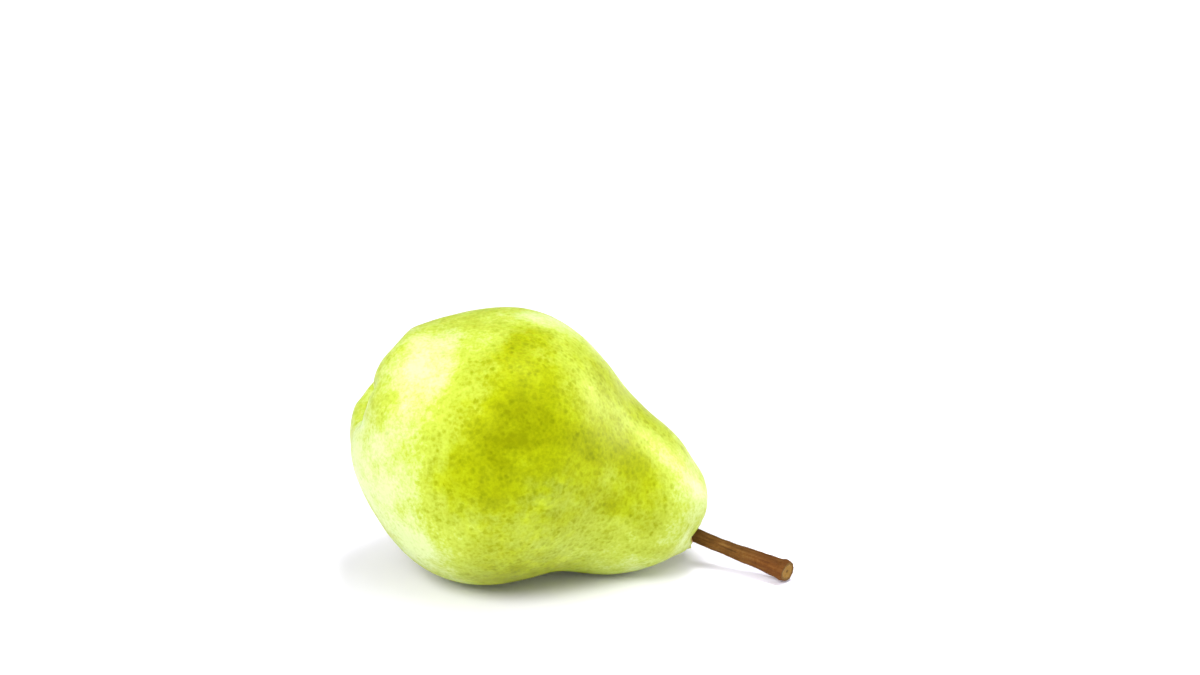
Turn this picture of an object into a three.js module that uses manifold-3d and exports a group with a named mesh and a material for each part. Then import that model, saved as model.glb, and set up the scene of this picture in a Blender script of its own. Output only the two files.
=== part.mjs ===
// A whole green pear, picked, lying on its side on its belly and its neck, calyx to -X and stem to +X.
// Three pieces: the fruit, the woody stem rooted in its neck, and the dried calyx in the basin at its other
// end. Millimetres, +Z up. The surface that it lies on is z = 0, and the origin is on that surface, under
// the middle of the pear's bounding box.
import * as THREE from "three";
import { LoftGeometry } from "three/addons/geometries/LoftGeometry.js";
import { ParametricGeometry } from "three/addons/geometries/ParametricGeometry.js";
import { mergeVertices } from "three/addons/utils/BufferGeometryUtils.js";
import Module from "manifold-3d";

const wasm = await Module();
wasm.setup();

// The lie of the fruit. Its own axis runs from calyx to stem: X along it, Y to the far side, Z up.
const LEAN = THREE.MathUtils.degToRad(23.8);
const AXIS_START_HEIGHT = 49.4;
const GAP = 0.3;

// The fruit's outline: distance along the axis from the calyx rim, and radius there.
const FRUIT_PROFILE = [
  [3.2, 0.0],
  [2.9, 3.0],
  [1.2, 6.4],
  [0.0, 10.0],
  [1.3, 14.4],
  [5.0, 20.0],
  [11.0, 25.8],
  [18.6, 31.0],
  [27.2, 34.7],
  [36.0, 35.9],
  [45.0, 34.3],
  [53.5, 30.2],
  [61.0, 25.6],
  [68.5, 22.3],
  [76.0, 19.5],
  [82.5, 16.7],
  [87.6, 13.4],
  [91.0, 9.8],
  [92.2, 6.4],
  [91.4, 3.4],
  [90.2, 0.0],
];
const FRUIT_RINGS = 54;
const FRUIT_SIDES = 68;
const STEM_SEAT_DROP = 3.6;
const CALYX_DROP = 2.5;

// Swellings (+) and hollows (-) that keep the fruit from being round: where they are centred along the
// axis and round it (degrees, 0 on top, 90 on the far side), how far they spread, and how high they are.
const SWELLINGS = [
  { name: "near knob of the calyx rim", along: 3.0, turn: 285, length: 5.0, width: 24, height: 1.3 },
  { name: "near upper rim", along: 1.8, turn: 345, length: 4.2, width: 34, height: 2.0 },
  { name: "far lower knob", along: 3.0, turn: 138, length: 5.0, width: 24, height: 1.6 },
  { name: "near lower knob", along: 3.0, turn: 214, length: 5.0, width: 22, height: 0.7 },
  { name: "low far side of the rim", along: 0.6, turn: 46, length: 2.6, width: 46, height: -3.2 },
  { name: "shoulder above the calyx", along: 4.5, turn: 350, length: 3.5, width: 42, height: 0.7 },
  { name: "flat on top of the belly", along: 18.0, turn: 0, length: 13.0, width: 50, height: -1.1 },
  { name: "belly, near side", along: 40.0, turn: 320, length: 15.0, width: 30, height: 0.4 },
  { name: "belly, below", along: 26.0, turn: 205, length: 14.0, width: 38, height: 0.5 },
  { name: "top of the waist", along: 43.0, turn: 0, length: 15.0, width: 34, height: -0.9 },
  { name: "flat under the belly", along: 48.0, turn: 180, length: 9.0, width: 30, height: -0.4 },
  { name: "hollow under the waist", along: 60.0, turn: 190, length: 8.0, width: 30, height: -0.8 },
  { name: "waist, near side", along: 64.0, turn: 250, length: 9.0, width: 35, height: -0.4 },
  { name: "top of the neck", along: 66.0, turn: 0, length: 12.0, width: 45, height: -0.3 },
  { name: "bulge under the neck", along: 73.0, turn: 185, length: 9.0, width: 40, height: 1.4 },
  { name: "slope above the stem", along: 86.0, turn: 350, length: 6.0, width: 50, height: -1.3 },
  { name: "notch beside the stem", along: 91.0, turn: 262, length: 4.0, width: 38, height: -1.9 },
  { name: "hollow below the stem", along: 88.0, turn: 185, length: 5.0, width: 34, height: -1.3 },
];

// Slow waves round the fruit: how many to a turn, where the first crest is, its twist per mm along the
// axis, and the bell along the axis that they fade by.
const GIRTH_WAVES = [
  { count: 2, crest: 20, twist: 0, middle: 36, spread: 30, height: 0.35 },
  { count: 3, crest: 70, twist: 0.02, middle: 40, spread: 34, height: 0.22 },
  { count: 5, crest: 30, twist: 0.015, middle: 15, spread: 26, height: 0.18 },
];
const RELIEF_FADE_START = 2.0;
const RELIEF_FADE_LENGTH = 5.0;

// The stem's centre line in the fruit's frame. It leans towards the near side and swells at its cut tip.
const STEM_PATH = [
  [84.0, 0.4, -4.6],
  [88.5, 0.4, -4.5],
  [93.0, -0.4, -4.2],
  [97.9, -3.0, -3.5],
  [102.8, -6.0, -2.6],
  [107.5, -9.2, -1.4],
  [112.3, -12.4, -0.4],
  [115.3, -14.4, 0.4],
];
const STEM_BASE_RADIUS = 1.85;
const STEM_TIP_RADIUS = 2.55;
const STEM_SWELL_START = 0.45;
const STEM_RIDGES = [
  { count: 3, twist: 2.0, depth: 0.035 },
  { count: 5, twist: -1.0, depth: 0.02 },
];
const STEM_STEPS = 30;
const STEM_SIDES = 20;
const TIP_BEVEL = 0.35;

// The calyx: a small cup set in the floor of the basin, with five dried sepals that spread and curl.
const CALYX_CENTRE = new THREE.Vector3(3.2, 0, -CALYX_DROP);
const CUP_RADIUS = 2.3;
const CUP_DEPTH = 2.0;
const CUP_RISE = 1.0;
const CUP_SIDES = 20;
const THROAT_MOUTH_RADIUS = 1.5;
const THROAT_FLOOR_RADIUS = 0.8;
const THROAT_DEPTH = 1.4;
const SEPAL_COUNT = 5;
const SEPAL_THICKNESS = 0.65;
const SEPAL_ROOT_THICKENING = 0.4;
const SEPAL_WIDTH = 2.7;
const SEPAL_ROOT_SHARE = 0.55;
const SEPAL_TIP_LOSS = 0.7;
const SEPAL_CUPPING = 0.25;
const SEPAL_STEPS = 8;
// The corners of a sepal's section, in shares of its half width and half thickness.
const SEPAL_SECTION = [
  [1, 0.7],
  [0, 1],
  [-1, 0.7],
  [-1, -0.7],
  [0, -1],
  [1, -0.7],
];
// Each sepal's middle line: distance from the calyx's centre, and height out of the basin.
const SEPAL_LINE = [
  [1.2, 0.2],
  [2.3, 1.0],
  [3.4, 2.1],
  [4.2, 3.4],
  [4.3, 4.6],
];
const SEPAL_VARIATION = [1.0, 0.88, 1.06, 0.94, 0.82];
const SEPAL_FIRST_TURN = 20;

// The block that stands for everything below the surface: length, width and depth.
const GROUND_BLOCK = [300, 200, 60];

const radians = THREE.MathUtils.degToRad;

function bell(distance, spread) {
  return Math.exp(-((distance / spread) ** 2));
}

function turnGap(turn, centre) {
  const gap = THREE.MathUtils.euclideanModulo(turn - centre + Math.PI, 2 * Math.PI) - Math.PI;
  return THREE.MathUtils.radToDeg(gap);
}

// How far the skin stands proud of the turned outline at one place.
function relief(along, radius, turn) {
  let height = 0;
  for (const swelling of SWELLINGS) {
    const across = bell(turnGap(turn, radians(swelling.turn)), swelling.width);
    height += swelling.height * bell(along - swelling.along, swelling.length) * across;
  }
  for (const wave of GIRTH_WAVES) {
    const phase = wave.count * (turn - radians(wave.crest)) + wave.twist * along;
    height += wave.height * Math.cos(phase) * bell(along - wave.middle, wave.spread);
  }
  return height * THREE.MathUtils.clamp((radius - RELIEF_FADE_START) / RELIEF_FADE_LENGTH, 0, 1);
}

// One point of the skin: u runs from the calyx to the stem, turn goes round from the top.
function skinPoint(profile, u, turn, point) {
  const spot = profile.getPoint(u);
  const direction = profile.getTangent(u);
  const height = relief(spot.x, spot.y, turn);
  const along = spot.x - direction.y * height;
  const radius = spot.y + direction.x * height;
  const stemDrop = STEM_SEAT_DROP * THREE.MathUtils.smoothstep(u, 0.8, 1.0);
  const calyxDrop = CALYX_DROP * (1 - THREE.MathUtils.smoothstep(u, 0.0, 0.16));
  point.set(along, radius * Math.sin(turn), radius * Math.cos(turn) - stemDrop - calyxDrop);
}

// A ring of points round a centre in the plane of two directions, with its radius as a function of the turn.
function ring(centre, across, upward, sides, radiusAt) {
  return Array.from({ length: sides }, (_, side) => {
    const turn = (side / sides) * 2 * Math.PI;
    const radius = radiusAt(turn);
    const point = centre.clone();
    point.addScaledVector(across, radius * Math.cos(turn));
    return point.addScaledVector(upward, radius * Math.sin(turn));
  });
}

// A closed geometry as a solid. Triangles that collapse at a pole are dropped.
function solidOf(geometry) {
  const shell = new THREE.BufferGeometry().copy(geometry);
  shell.deleteAttribute("normal");
  shell.deleteAttribute("uv");
  const merged = mergeVertices(shell);
  const vertProperties = new Float32Array(merged.getAttribute("position").array);
  const corners = merged.getIndex().array;
  const kept = [];
  for (let first = 0; first < corners.length; first += 3) {
    const [a, b, c] = corners.slice(first, first + 3);
    if (a !== b && b !== c && c !== a) {
      kept.push(a, b, c);
    }
  }
  return new wasm.Manifold(new wasm.Mesh({ numProp: 3, vertProperties, triVerts: new Uint32Array(kept) }));
}

function geometryOf(solid) {
  const mesh = solid.getMesh();
  const geometry = new THREE.BufferGeometry();
  geometry.setAttribute("position", new THREE.BufferAttribute(new Float32Array(mesh.vertProperties), 3));
  geometry.setIndex(new THREE.BufferAttribute(new Uint32Array(mesh.triVerts), 1));
  geometry.computeVertexNormals();
  return geometry;
}

function loft(sections) {
  return solidOf(new LoftGeometry(sections, { capStart: true, capEnd: true }));
}

function fruitSkin() {
  const profile = new THREE.SplineCurve(FRUIT_PROFILE.map((pair) => new THREE.Vector2(...pair)));
  const place = (around, along, point) => skinPoint(profile, along, -around * 2 * Math.PI, point);
  return solidOf(new ParametricGeometry(place, FRUIT_SIDES, FRUIT_RINGS));
}

// The stem, or with a margin the hole that it stands in: rings square to the centre line, a little angular.
function stemSolid(margin) {
  const path = new THREE.CatmullRomCurve3(STEM_PATH.map((place) => new THREE.Vector3(...place)));
  path.curveType = "catmullrom";
  const sections = [];
  const addRing = (t, shrink, shift) => {
    const direction = path.getTangent(t);
    const across = new THREE.Vector3(0, 0, 1).cross(direction).normalize();
    const upward = new THREE.Vector3().crossVectors(direction, across);
    const swell = THREE.MathUtils.smoothstep(t, STEM_SWELL_START, 1.0);
    const base = THREE.MathUtils.lerp(STEM_BASE_RADIUS, STEM_TIP_RADIUS, swell) + margin - shrink;
    const centre = path.getPoint(t).addScaledVector(direction, shift);
    const ridged = (turn) => STEM_RIDGES.reduce(
      (radius, ridge) => radius + base * ridge.depth * Math.cos(ridge.count * turn + ridge.twist * t),
      base,
    );
    sections.push(ring(centre, across, upward, STEM_SIDES, ridged));
  };
  addRing(0, 0, -margin);
  for (let step = 1; step < STEM_STEPS; step += 1) {
    addRing(step / STEM_STEPS, 0, 0);
  }
  addRing(1, 0, -TIP_BEVEL);
  addRing(1, TIP_BEVEL, 0);
  return loft(sections);
}

// A round plug on the calyx's own axis, between two heights out of the basin, which is along -X.
function calyxPlug(outerRise, outerRadius, innerRise, innerRadius) {
  const far = new THREE.Vector3(0, 1, 0);
  const up = new THREE.Vector3(0, 0, 1);
  const at = (rise, radius) => {
    const centre = CALYX_CENTRE.clone().setX(CALYX_CENTRE.x - rise);
    return ring(centre, far, up, CUP_SIDES, () => radius);
  };
  return loft([at(outerRise, outerRadius), at(innerRise, innerRadius)]);
}

// The calyx's cup, or with a margin the seat that it sits in.
function cupSolid(margin) {
  const radius = CUP_RADIUS + margin;
  return calyxPlug(CUP_RISE, radius, -CUP_DEPTH - margin, radius);
}

// The open throat in the middle of the calyx, where the flower's parts dried up.
function throatSolid() {
  const slope = (THROAT_MOUTH_RADIUS - THROAT_FLOOR_RADIUS) / THROAT_DEPTH;
  return calyxPlug(CUP_RISE + 1, THROAT_MOUTH_RADIUS + slope, CUP_RISE - THROAT_DEPTH, THROAT_FLOOR_RADIUS);
}

// One sepal: a blade of even thickness that follows its middle line outward and narrows to a point.
function sepalSolid(index) {
  const stretched = (pair) => new THREE.Vector2(...pair).multiplyScalar(SEPAL_VARIATION[index]);
  const line = new THREE.SplineCurve(SEPAL_LINE.map(stretched));
  const turn = radians(SEPAL_FIRST_TURN) + (index / SEPAL_COUNT) * 2 * Math.PI;
  const outward = new THREE.Vector3(0, Math.sin(turn), Math.cos(turn));
  const sideways = new THREE.Vector3(0, Math.cos(turn), -Math.sin(turn));
  const risen = new THREE.Vector3(-1, 0, 0);
  const sections = [];
  for (let step = 0; step <= SEPAL_STEPS; step += 1) {
    const t = step / SEPAL_STEPS;
    const spot = line.getPoint(t);
    const direction = line.getTangent(t);
    const centre = CALYX_CENTRE.clone().addScaledVector(outward, spot.x).addScaledVector(risen, spot.y);
    const normal = outward.clone().multiplyScalar(-direction.y).addScaledVector(risen, direction.x);
    const widest = SEPAL_ROOT_SHARE + (1 - SEPAL_ROOT_SHARE) * Math.sin(Math.PI * t);
    const halfWidth = (SEPAL_WIDTH / 2) * widest * (1 - SEPAL_TIP_LOSS * t * t);
    const halfThick = (SEPAL_THICKNESS / 2) * (1 + SEPAL_ROOT_THICKENING * (1 - t));
    sections.push(SEPAL_SECTION.map(([side, face]) => centre.clone()
      .addScaledVector(sideways, side * halfWidth)
      .addScaledVector(normal, face * halfThick + SEPAL_CUPPING * Math.abs(side) * halfWidth)));
  }
  return loft(sections);
}

function calyxSolid() {
  let calyx = cupSolid(0);
  for (let index = 0; index < SEPAL_COUNT; index += 1) {
    calyx = calyx.add(sepalSolid(index));
  }
  return calyx.subtract(throatSolid());
}

// What would lie below the surface, in the fruit's own frame.
function groundSolid(lying) {
  const ground = new THREE.BoxGeometry(...GROUND_BLOCK).translate(0, 0, -GROUND_BLOCK[2] / 2);
  return solidOf(ground.applyMatrix4(lying.matrix.clone().invert()));
}

function namedMesh(name, solid, material) {
  const mesh = new THREE.Mesh(geometryOf(solid), new THREE.MeshStandardMaterial(material));
  mesh.name = name;
  return mesh;
}

const lying = new THREE.Group();
lying.rotation.y = LEAN;
lying.position.z = AXIS_START_HEIGHT;
lying.updateMatrix();

const fruit = fruitSkin().subtract(stemSolid(GAP)).subtract(cupSolid(GAP)).subtract(groundSolid(lying));
lying.add(namedMesh("pear_body", fruit, { color: "#bcd23c", roughness: 0.42, metalness: 0 }));
lying.add(namedMesh("stem", stemSolid(0), { color: "#7a4c22", roughness: 0.75, metalness: 0 }));
lying.add(namedMesh("calyx", calyxSolid(), { color: "#4a3a22", roughness: 0.85, metalness: 0 }));

const pear = new THREE.Group();
pear.add(lying);
const box = new THREE.Box3().setFromObject(pear, true);
const middle = box.getCenter(new THREE.Vector3());
lying.position.x -= middle.x;
lying.position.y -= middle.y;

export default pear;
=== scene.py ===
import math

import bpy
import numpy as np
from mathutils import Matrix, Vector


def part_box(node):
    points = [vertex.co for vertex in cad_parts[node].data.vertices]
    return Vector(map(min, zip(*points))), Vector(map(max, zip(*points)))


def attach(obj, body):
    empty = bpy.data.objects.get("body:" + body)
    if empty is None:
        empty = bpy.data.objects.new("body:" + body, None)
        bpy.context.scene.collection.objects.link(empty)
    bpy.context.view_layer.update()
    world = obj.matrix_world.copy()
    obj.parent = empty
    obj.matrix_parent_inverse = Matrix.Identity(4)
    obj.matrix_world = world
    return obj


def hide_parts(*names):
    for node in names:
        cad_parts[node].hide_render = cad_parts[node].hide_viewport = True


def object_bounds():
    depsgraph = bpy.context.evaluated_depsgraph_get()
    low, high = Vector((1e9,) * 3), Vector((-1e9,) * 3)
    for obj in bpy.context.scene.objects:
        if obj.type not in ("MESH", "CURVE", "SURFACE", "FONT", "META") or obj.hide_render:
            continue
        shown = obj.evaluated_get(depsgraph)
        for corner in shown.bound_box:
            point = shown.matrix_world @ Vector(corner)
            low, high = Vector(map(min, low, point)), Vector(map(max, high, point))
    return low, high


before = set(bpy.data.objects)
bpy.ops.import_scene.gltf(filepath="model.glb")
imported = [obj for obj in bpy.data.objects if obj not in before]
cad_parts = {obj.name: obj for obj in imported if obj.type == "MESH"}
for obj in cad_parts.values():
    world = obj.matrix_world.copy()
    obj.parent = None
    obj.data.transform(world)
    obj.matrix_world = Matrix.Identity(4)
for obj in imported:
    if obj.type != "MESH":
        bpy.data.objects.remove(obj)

# A whole green pear, picked, lying on its side on a white table: fine skin, woody stem, dried calyx.
# The pieces are worked out in millimetres in the fruit's own frame (along its axis from calyx to stem,
# to the far side, and up), then laid down on the table and turned into metres.
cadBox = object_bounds()
millimetre = 0.001
fullTurn = 2 * math.pi

lie = {
    "lean": math.radians(23.8),     # the stem end hangs lower than the calyx end
    "axisStartHeight": 49.4,        # height of the axis above the table, at the calyx rim
}


# Shapes: formulas that every piece uses

# A bell: 1 in the middle, falling to nothing about two spreads away.
def bell(distance, spread):
    return np.exp(-((distance / spread) ** 2))


# A smooth step from 0 at low to 1 at high.
def smooth(value, low, high):
    share = np.clip((value - low) / (high - low), 0, 1)
    return share * share * (3 - 2 * share)


# The shortest way round from one turn to another, in degrees.
def turnGap(turn, centre):
    return (turn - centre + 180) % 360 - 180


# A spline through given points, even in its parameter: places and directions at t from 0 to 1.
# Its ends are held, or carried on as a mirror image of the first step where openEnds is 1.
def splineAt(points, t, openEnds=0):
    knots = np.asarray(points, float)
    before = knots[0] + openEnds * (knots[0] - knots[1])
    after = knots[-1] + openEnds * (knots[-1] - knots[-2])
    padded = np.vstack([before, knots, after])
    last = len(knots) - 1
    place = np.clip(t, 0, 1) * last
    first = np.minimum(np.asarray(place).astype(int), last - 1)
    share = (place - first)[..., None]
    a = padded[first + 1]
    b = padded[first + 2]
    leaving = (b - padded[first]) / 2
    reaching = (padded[first + 3] - a) / 2
    cubic = 2 * (a - b) + leaving + reaching
    square = 3 * (b - a) - 2 * leaving - reaching
    spot = ((cubic * share + square) * share + leaving) * share + a
    way = (3 * cubic * share + 2 * square) * share + leaving
    return spot, way / np.linalg.norm(way, axis=-1, keepdims=True)


# Soft noise from -1 to 1: random values on a cubic lattice, joined by smooth curves; bumps one cell wide.
def softNoise(places, cell, seed):
    side = 32
    values = np.random.default_rng(seed).uniform(-1, 1, (side, side, side))
    corner = np.floor(places / cell).astype(int)
    share = places / cell - corner
    share = share * share * (3 - 2 * share)
    total = np.zeros(places.shape[:-1])
    for step in np.ndindex(2, 2, 2):
        x, y, z = np.moveaxis((corner + step) % side, -1, 0)
        total += np.prod(np.where(step, share, 1 - share), axis=-1) * values[x, y, z]
    return total


# The fruit's frame laid on the table: turned by the lean about the far-side axis, lifted, and shifted.
def laidDown(places, shift):
    along, side, up = np.moveaxis(places, -1, 0)
    x = along * math.cos(lie["lean"]) + up * math.sin(lie["lean"])
    z = up * math.cos(lie["lean"]) - along * math.sin(lie["lean"]) + lie["axisStartHeight"]
    return np.stack([x + shift[0], side + shift[1], z], axis=-1)


# A direction out from the pear. Azimuth 0 points at the photograph's side, and elevation 0 is level.
def outwards(azimuth, elevation):
    a = math.radians(azimuth)
    e = math.radians(elevation)
    return Vector((math.sin(a) * math.cos(e), -math.cos(a) * math.cos(e), math.sin(e)))


# The values of a grid in one list: its first pole once, the rings in order, its last pole once.
def listed(grid):
    return np.concatenate([grid[0, :1], grid[1:-1].reshape(-1, *grid.shape[2:]), grid[-1, :1]])


# One closed mesh from grids of places, rows by columns. Columns go round and meet; the first and last
# row of a grid are one point each, its poles. Named values on the same grids become point attributes.
def closedMesh(name, grids, values=None):
    places = []
    corners = []
    sizes = []
    base = 0
    for grid in grids:
        rows, columns = grid.shape[:2]
        spots = listed(grid)
        last = base + len(spots) - 1
        here = np.arange(columns)
        there = (here + 1) % columns
        firstRing = base + 1
        lastRing = base + 1 + (rows - 3) * columns
        ringStarts = firstRing + np.arange(rows - 3)[:, None] * columns
        startFan = np.stack([np.full(columns, base), firstRing + there, firstRing + here], axis=-1)
        endFan = np.stack([np.full(columns, last), lastRing + here, lastRing + there], axis=-1)
        nextStarts = ringStarts + columns
        quads = np.stack([
            ringStarts + here, ringStarts + there, nextStarts + there, nextStarts + here,
        ], axis=-1).reshape(-1, 4)
        # Faces are turned round where they would enclose the space inside out.
        a, b, c, d = np.moveaxis(spots[quads - base], 1, 0)
        facing = np.sum(np.cross(c - a, d - b) * ((a + b + c + d) / 4 - spots.mean(axis=0)))
        if facing < 0:
            startFan, endFan, quads = startFan[:, ::-1], endFan[:, ::-1], quads[:, ::-1]
        places.append(spots)
        corners += [startFan.ravel(), endFan.ravel(), quads.ravel()]
        sizes += [np.full(2 * columns, 3), np.full(len(quads), 4)]
        base = last + 1
    places = np.concatenate(places)
    corners = np.concatenate(corners)
    sizes = np.concatenate(sizes)
    mesh = bpy.data.meshes.new(name)
    mesh.vertices.add(len(places))
    mesh.vertices.foreach_set("co", (places * millimetre).astype(np.float32).ravel())
    mesh.loops.add(len(corners))
    mesh.loops.foreach_set("vertex_index", corners.astype(np.int32))
    mesh.polygons.add(len(sizes))
    mesh.polygons.foreach_set("loop_start", (np.cumsum(sizes) - sizes).astype(np.int32))
    mesh.update(calc_edges=True)
    mesh.validate()
    mesh.shade_smooth()
    for label, fields in (values or {}).items():
        flat = np.concatenate([listed(field) for field in fields]).astype(np.float32)
        kind, key = ("FLOAT", "value") if flat.ndim == 1 else ("FLOAT_VECTOR", "vector")
        mesh.attributes.new(label, kind, "POINT").data.foreach_set(key, flat.ravel())
    piece = bpy.data.objects.new(name, mesh)
    bpy.context.scene.collection.objects.link(piece)
    return piece


# Material tools: each adds one shader node, links what is a socket and sets what is a value

def addNode(tree, kind, inputs=None, **settings):
    node = tree.nodes.new(kind)
    for key, value in settings.items():
        setattr(node, key, value)
    for key, value in (inputs or {}).items():
        if isinstance(value, bpy.types.NodeSocket):
            tree.links.new(value, node.inputs[key])
        else:
            node.inputs[key].default_value = value
    return node


def newMaterial(name):
    material = bpy.data.materials.new(name)
    material.use_nodes = True
    tree = material.node_tree
    tree.nodes.clear()
    return material, tree


# Cloudy noise whose features are about one cell wide, in millimetres.
def cloud(tree, place, cell, detail=2.0, roughness=0.5, distortion=0.0):
    return addNode(tree, "ShaderNodeTexNoise", {
        "Vector": place, "Scale": 1 / (cell * millimetre), "Detail": detail, "Roughness": roughness,
        "Distortion": distortion,
    }).outputs["Fac"]


def calc(tree, operation, first, second=0.0, third=0.0):
    node = addNode(tree, "ShaderNodeMath", {0: first, 1: second, 2: third}, operation=operation)
    return node.outputs[0]


# A start value, plus each pattern times its weight.
def weighed(tree, start, patterns, weights):
    total = start
    for pattern, weight in zip(patterns, weights):
        total = calc(tree, "MULTIPLY_ADD", pattern, weight, total)
    return total


# A smooth step from toLow at low to toHigh at high.
def remap(tree, value, low, high, toLow=0.0, toHigh=1.0):
    return addNode(tree, "ShaderNodeMapRange", {
        "Value": value, "From Min": low, "From Max": high, "To Min": toLow, "To Max": toHigh,
    }, interpolation_type="SMOOTHSTEP").outputs["Result"]


def withAlpha(colour):
    return (*colour, 1) if isinstance(colour, tuple) else colour


# One colour over another, by the given share. Either is a socket or three numbers.
def blend(tree, share, below, above, blendType="MIX"):
    colours = {0: share, 6: withAlpha(below), 7: withAlpha(above)}
    node = addNode(tree, "ShaderNodeMix", colours, data_type="RGBA", blend_type=blendType)
    return node.outputs[2]


# A colour scale from (position, colour) stops.
def colourScale(tree, value, stops):
    node = addNode(tree, "ShaderNodeValToRGB", {"Fac": value})
    elements = node.color_ramp.elements
    while len(elements) < len(stops):
        elements.new(0.5)
    for element, (position, colour) in zip(elements, stops):
        element.position = position
        element.color = withAlpha(colour)
    return node.outputs["Color"]


def attribute(tree, name):
    return addNode(tree, "ShaderNodeAttribute", attribute_name=name)


def objectPlace(tree):
    return addNode(tree, "ShaderNodeTexCoord").outputs["Object"]


# The surface shader, with a bump of the given depth in millimetres and any other sockets by name.
def finishMaterial(tree, colour, roughness, height, bumpDepth, **sockets):
    bump = addNode(tree, "ShaderNodeBump", {
        "Height": height, "Strength": 1.0, "Distance": bumpDepth * millimetre,
    })
    named = {key.replace("_", " "): value for key, value in sockets.items()}
    shader = addNode(tree, "ShaderNodeBsdfPrincipled", {
        "Base Color": colour, "Roughness": roughness, "Normal": bump.outputs["Normal"], **named,
    })
    addNode(tree, "ShaderNodeOutputMaterial", {"Surface": shader.outputs["BSDF"]})


# Camera, at the photograph's angle

photo = {
    "width": 1200, "height": 675,
    "azimuth": -5.0, "elevation": 20.0,
    "lens": 85.0, "sensor": 36.0,
    "distance": 722.0,                      # millimetres
    "clipStart": 0.01,                      # metres
    "target": (-10.211, 0.0, 36.0),         # the belly's middle, in mm on the table
    "targetPixel": (530.0, 440.0),          # and where it shows
}


def addCamera():
    azimuth = math.radians(photo["azimuth"])
    elevation = math.radians(photo["elevation"])
    ahead = -outwards(photo["azimuth"], photo["elevation"])
    right = Vector((math.cos(azimuth), math.sin(azimuth), 0))
    pixelsPerUnit = photo["lens"] / photo["sensor"] * photo["width"] / photo["distance"]
    acrossPixels = photo["targetPixel"][0] - photo["width"] / 2
    upPixels = photo["height"] / 2 - photo["targetPixel"][1]
    data = bpy.data.cameras.new("camera")
    data.lens = photo["lens"]
    data.sensor_width = photo["sensor"]
    data.clip_start = photo["clipStart"]
    camera = bpy.data.objects.new("camera", data)
    place = Vector(photo["target"]) - ahead * photo["distance"]
    place -= right * (acrossPixels / pixelsPerUnit) + right.cross(ahead) * (upPixels / pixelsPerUnit)
    camera.location = place * millimetre
    camera.rotation_euler = (math.pi / 2 - elevation, 0, azimuth)
    bpy.context.scene.collection.objects.link(camera)
    bpy.context.scene.camera = camera


addCamera()
print("camera: in place")


# The fruit: skin and flesh

fruit = {
    # Distance along the axis from the calyx rim, and radius there.
    "profile": [
        (3.2, 0.0), (2.9, 3.0), (1.2, 6.4), (0.0, 10.0), (1.3, 14.4), (5.0, 20.0), (11.0, 25.8),
        (18.6, 31.0), (27.2, 34.7), (36.0, 35.9), (45.0, 34.3), (53.5, 30.2), (61.0, 25.6), (68.5, 22.3),
        (76.0, 19.5), (82.5, 16.7), (87.6, 13.4), (91.0, 9.8), (92.2, 6.4), (91.4, 3.4), (90.2, 0.0),
    ],
    # How far each end sinks, and over which part of the outline.
    "stemSeatDrop": 3.6, "stemSeatSpan": (0.8, 1.0),
    "calyxDrop": 2.5, "calyxSpan": (0.0, 0.16),
    # Swellings and hollows: along, turn in degrees from the top to the far side, length, width, height.
    "swellings": [
        (3.0, 285, 5.0, 24, 1.3),       # near knob of the calyx rim
        (1.8, 345, 4.2, 34, 2.0),       # near upper rim
        (3.0, 138, 5.0, 24, 1.6),       # far lower knob
        (3.0, 214, 5.0, 22, 0.7),       # near lower knob
        (0.6, 46, 2.6, 46, -3.2),       # low far side of the rim
        (4.5, 350, 3.5, 42, 0.7),       # shoulder above the calyx
        (18.0, 0, 13.0, 50, -1.1),      # flat on top of the belly
        (40.0, 320, 15.0, 30, 0.4),     # belly, near side
        (26.0, 205, 14.0, 38, 0.5),     # belly, below
        (43.0, 0, 15.0, 34, -0.9),      # top of the waist
        (48.0, 180, 9.0, 30, -0.4),     # flat under the belly
        (60.0, 190, 8.0, 30, -0.8),     # hollow under the waist
        (64.0, 250, 9.0, 35, -0.4),     # waist, near side
        (66.0, 0, 12.0, 45, -0.3),      # top of the neck
        (73.0, 185, 9.0, 40, 1.4),      # bulge under the neck
        (86.0, 350, 6.0, 50, -1.3),     # slope above the stem
        (91.0, 262, 4.0, 38, -1.9),     # notch beside the stem
        (88.0, 185, 5.0, 34, -1.3),     # hollow below the stem
    ],
    # Slow waves: how many to a turn, first crest, twist per mm, middle and spread along, height.
    "waves": [
        (2, 20, 0.0, 36, 30, 0.35),
        (3, 70, 0.02, 40, 34, 0.22),
        (5, 30, 0.015, 15, 26, 0.18),
    ],
    "poleFlat": (2.0, 5.0),         # no swellings within this of a pole, growing over this much more
    "rows": 330, "columns": 268,
    "samples": 6001,                # of the outline, to space the rows by
    "crowding": [(0.0, 0.09, 2.2), (1.0, 0.11, 2.8)],   # closer rows: where, over how much, how much closer
    "lumps": [(11.0, 0.16), (5.0, 0.07), (2.3, 0.03)],  # fine unevenness: size and height
    "wander": (0.5, 7.0),           # how much the ribs and creases wander, and over what size
    # Ribs in the calyx basin and creases at the stem: height, distance from the axis, width of the band,
    # and the part of the outline over which they fade.
    "basinRibs": 0.4, "ribsAt": 7.0, "ribsWidth": 3.6, "ribsFade": (0.16, 0.3), "ribsTurn": 56.0,
    "stemCreases": 0.4, "creasesAt": 5.5, "creasesWidth": 3.2, "creasesFade": (0.8, 0.93),
    # The swollen lip round the stem and the gap inside it: height or depth, and distance from the stem.
    "stemCentre": (-0.1, -4.4),     # where the stem comes out, to the far side and up
    "lipHeight": 0.95, "lipAt": 3.3,
    "gapDepth": 1.3, "gapAt": 1.6,
    "lipWidth": 0.9, "lipFade": (0.85, 0.93),
}


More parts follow.
